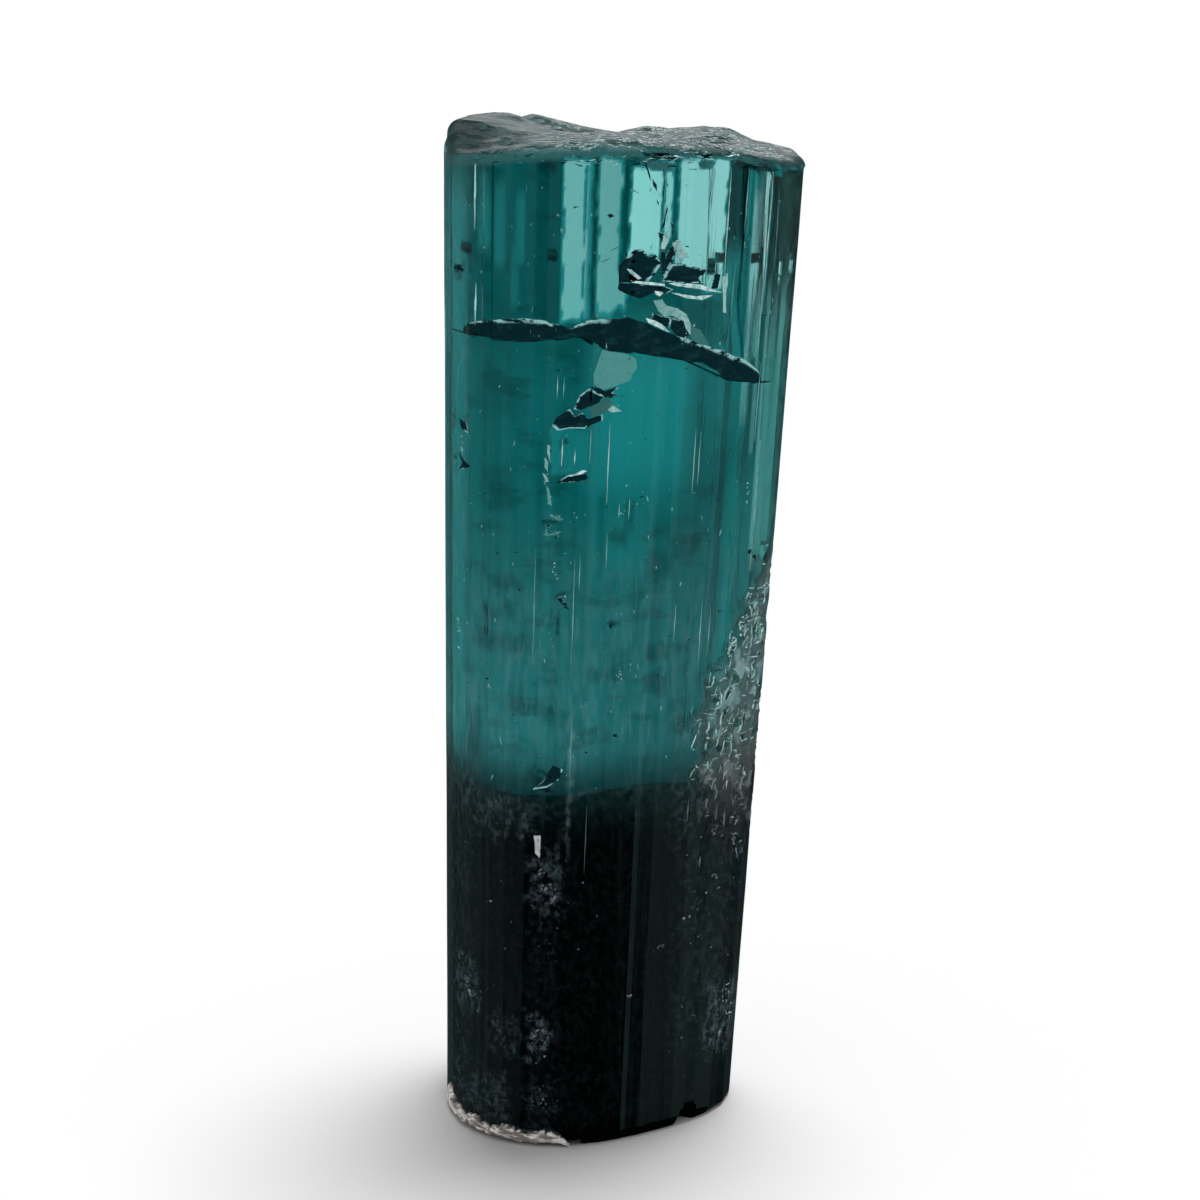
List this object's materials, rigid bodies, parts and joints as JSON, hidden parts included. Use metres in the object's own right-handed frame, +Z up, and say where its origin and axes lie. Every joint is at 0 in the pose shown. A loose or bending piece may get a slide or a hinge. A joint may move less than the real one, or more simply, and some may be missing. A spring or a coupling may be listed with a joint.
{
  "type": "tourmaline crystal",
  "caption": "Upright teal tourmaline prism with a rounded triangular section, long fine ridges, a broken top and a black foot with a scrap of pale rock.",
  "frame": {"origin": "middle of the model's box, on the surface that the cut foot stands on", "axes": "+Z up along the crystal's length, -Y towards the viewer of the picture, +X to the viewer's right"},
  "size_m": [0.0128, 0.0126, 0.0353],
  "materials": {
    "tourmaline": "glassy teal crystal, bright at the top, black over the lowest third",
    "pale_rock": "dull torn pale rock"
  },
  "bodies": {
    "root": {"crystal": "tourmaline", "matrix_rind": "pale_rock"}
  },
  "joints": []
}
